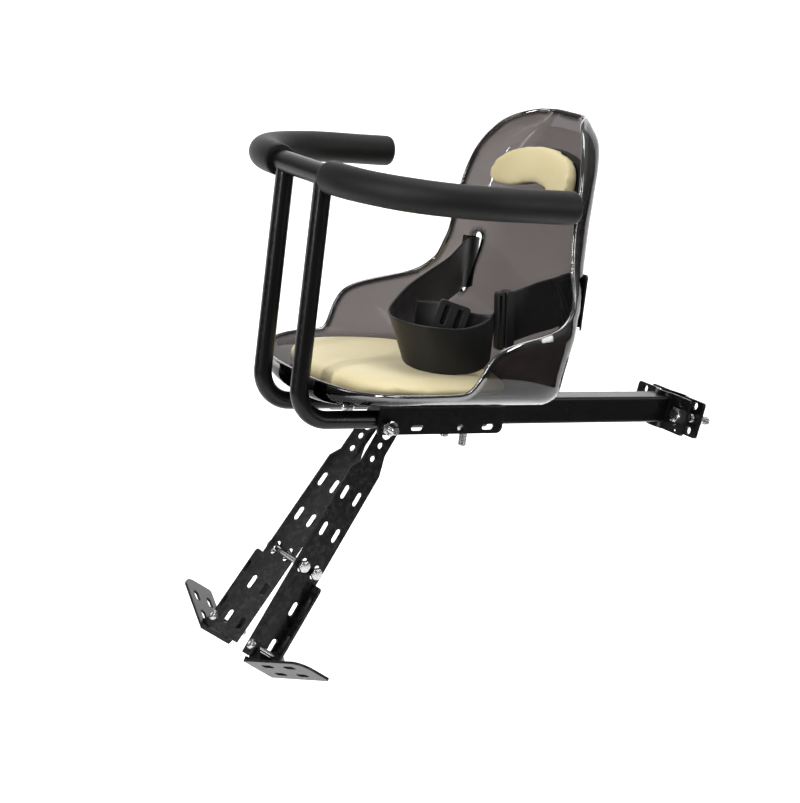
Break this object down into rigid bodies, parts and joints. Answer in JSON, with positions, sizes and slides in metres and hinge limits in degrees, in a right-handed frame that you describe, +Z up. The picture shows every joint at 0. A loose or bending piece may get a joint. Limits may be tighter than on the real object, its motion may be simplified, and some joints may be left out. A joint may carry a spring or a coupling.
{
  "type": "front-mounted child bicycle seat",
  "caption": "Clear bucket seat for a small child, with handrail, lap belt, slotted legs and folding footrests, that clamps to a bicycle's seat post on a square beam.",
  "frame": {"origin": "where the axis of the clamped seat post crosses the axis of the square beam, inside the clamp", "axes": "+X to the rear of the bicycle, +Y to the rider's right, +Z up, with the beam along X"},
  "size_m": [0.4853, 0.3384, 0.507],
  "materials": {
    "black_paint": "gloss",
    "zinc": "bright zinc plate",
    "black_plastic": "satin",
    "foam": "closed-cell foam, satin",
    "clear_smoke": "clear, polished",
    "cream_fabric": "soft, matt",
    "webbing": "woven satin"
  },
  "bodies": {
    "root": {"beam": "black_paint", "beam_end_plug": "black_plastic", "clamp_rear_half": "black_paint", "clamp_bolts": "zinc", "clamp_nuts": "zinc", "pivot_bolt": "zinc", "pivot_spacers": "zinc", "pivot_nut": "zinc"},
    "seat": {"seat_bracket": "black_paint", "lock_bolts": "zinc", "lock_washers": "zinc", "lock_nuts": "zinc", "handrail_bolts": "zinc", "handrail_nuts": "zinc", "handrail": "black_paint", "left_foam_grip": "foam", "right_foam_grip": "foam", "seat_shell": "clear_smoke", "seat_screws": "zinc", "seat_screw_washers": "zinc", "seat_screw_nuts": "zinc", "seat_cushion": "cream_fabric", "head_cushion": "cream_fabric", "head_cushion_base": "black_plastic", "right_belt_strap": "webbing", "left_belt_strap": "webbing", "belt_tail": "webbing", "buckle_socket": "black_plastic", "buckle_tongue": "black_plastic", "belt_slider": "black_plastic"},
    "legs": {"left_leg": "black_paint", "right_leg": "black_paint", "leg_bolts": "zinc", "leg_nuts": "zinc", "left_hinge_screw": "zinc", "right_hinge_screw": "zinc", "hinge_nuts": "zinc"},
    "left_foot": {"left_footrest": "black_paint"},
    "right_foot": {"right_footrest": "black_paint"}
  },
  "joints": [
    {"name": "seat_slide", "type": "slide", "parent": "root", "child": "seat", "axis": [1, 0, 0], "range_m": [-0.04, 0.0045]},
    {"name": "leg_swing", "type": "hinge", "parent": "root", "child": "legs", "pos_m": [-0.315, 0, -0.001], "axis": [0, 1, 0], "range_deg": [-30, 30]},
    {"name": "left_footrest_fold", "type": "hinge", "parent": "legs", "child": "left_foot", "pos_m": [-0.43453, -0.03815, -0.20803], "axis": [-0.866, 0, 0.5], "range_deg": [0, 70]},
    {"name": "right_footrest_fold", "type": "hinge", "parent": "legs", "child": "right_foot", "pos_m": [-0.43453, 0.03815, -0.20803], "axis": [0.866, 0, -0.5], "range_deg": [0, 70]}
  ]
}
